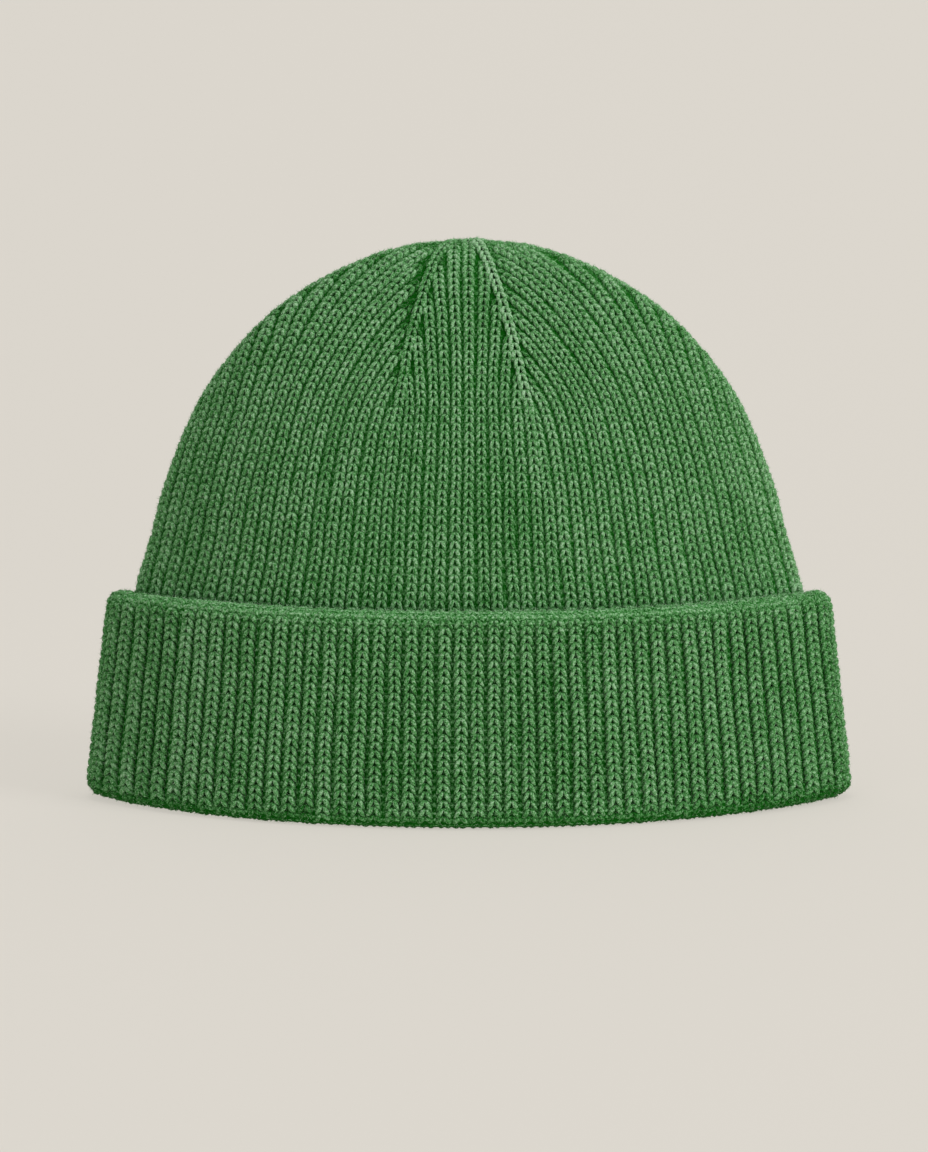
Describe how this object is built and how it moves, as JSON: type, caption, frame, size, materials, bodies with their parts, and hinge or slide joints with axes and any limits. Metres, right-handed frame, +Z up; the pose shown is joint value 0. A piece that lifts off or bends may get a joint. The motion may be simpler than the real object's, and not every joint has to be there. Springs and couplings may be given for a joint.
{
  "type": "fisherman beanie",
  "caption": "Ribbed knit beanie with a shaped, flat-fronted crown and a deep turned-up double cuff, open below for the head.",
  "frame": {"origin": "on the floor under the middle of the hat, which stands on the fold of its cuff", "axes": "+X across the hat from side to side, +Y from the front to the back, so the front faces -Y, +Z up to the top of the crown"},
  "size_m": [0.2174, 0.12, 0.1583],
  "materials": {
    "crown_knit": "soft matte wool in moss green, thick rib knit with deep furrows",
    "cuff_knit": "soft matte wool in moss green, thick rib knit, doubled and turned up"
  },
  "bodies": {
    "root": {"crown": "crown_knit", "cuff": "cuff_knit"}
  },
  "joints": []
}
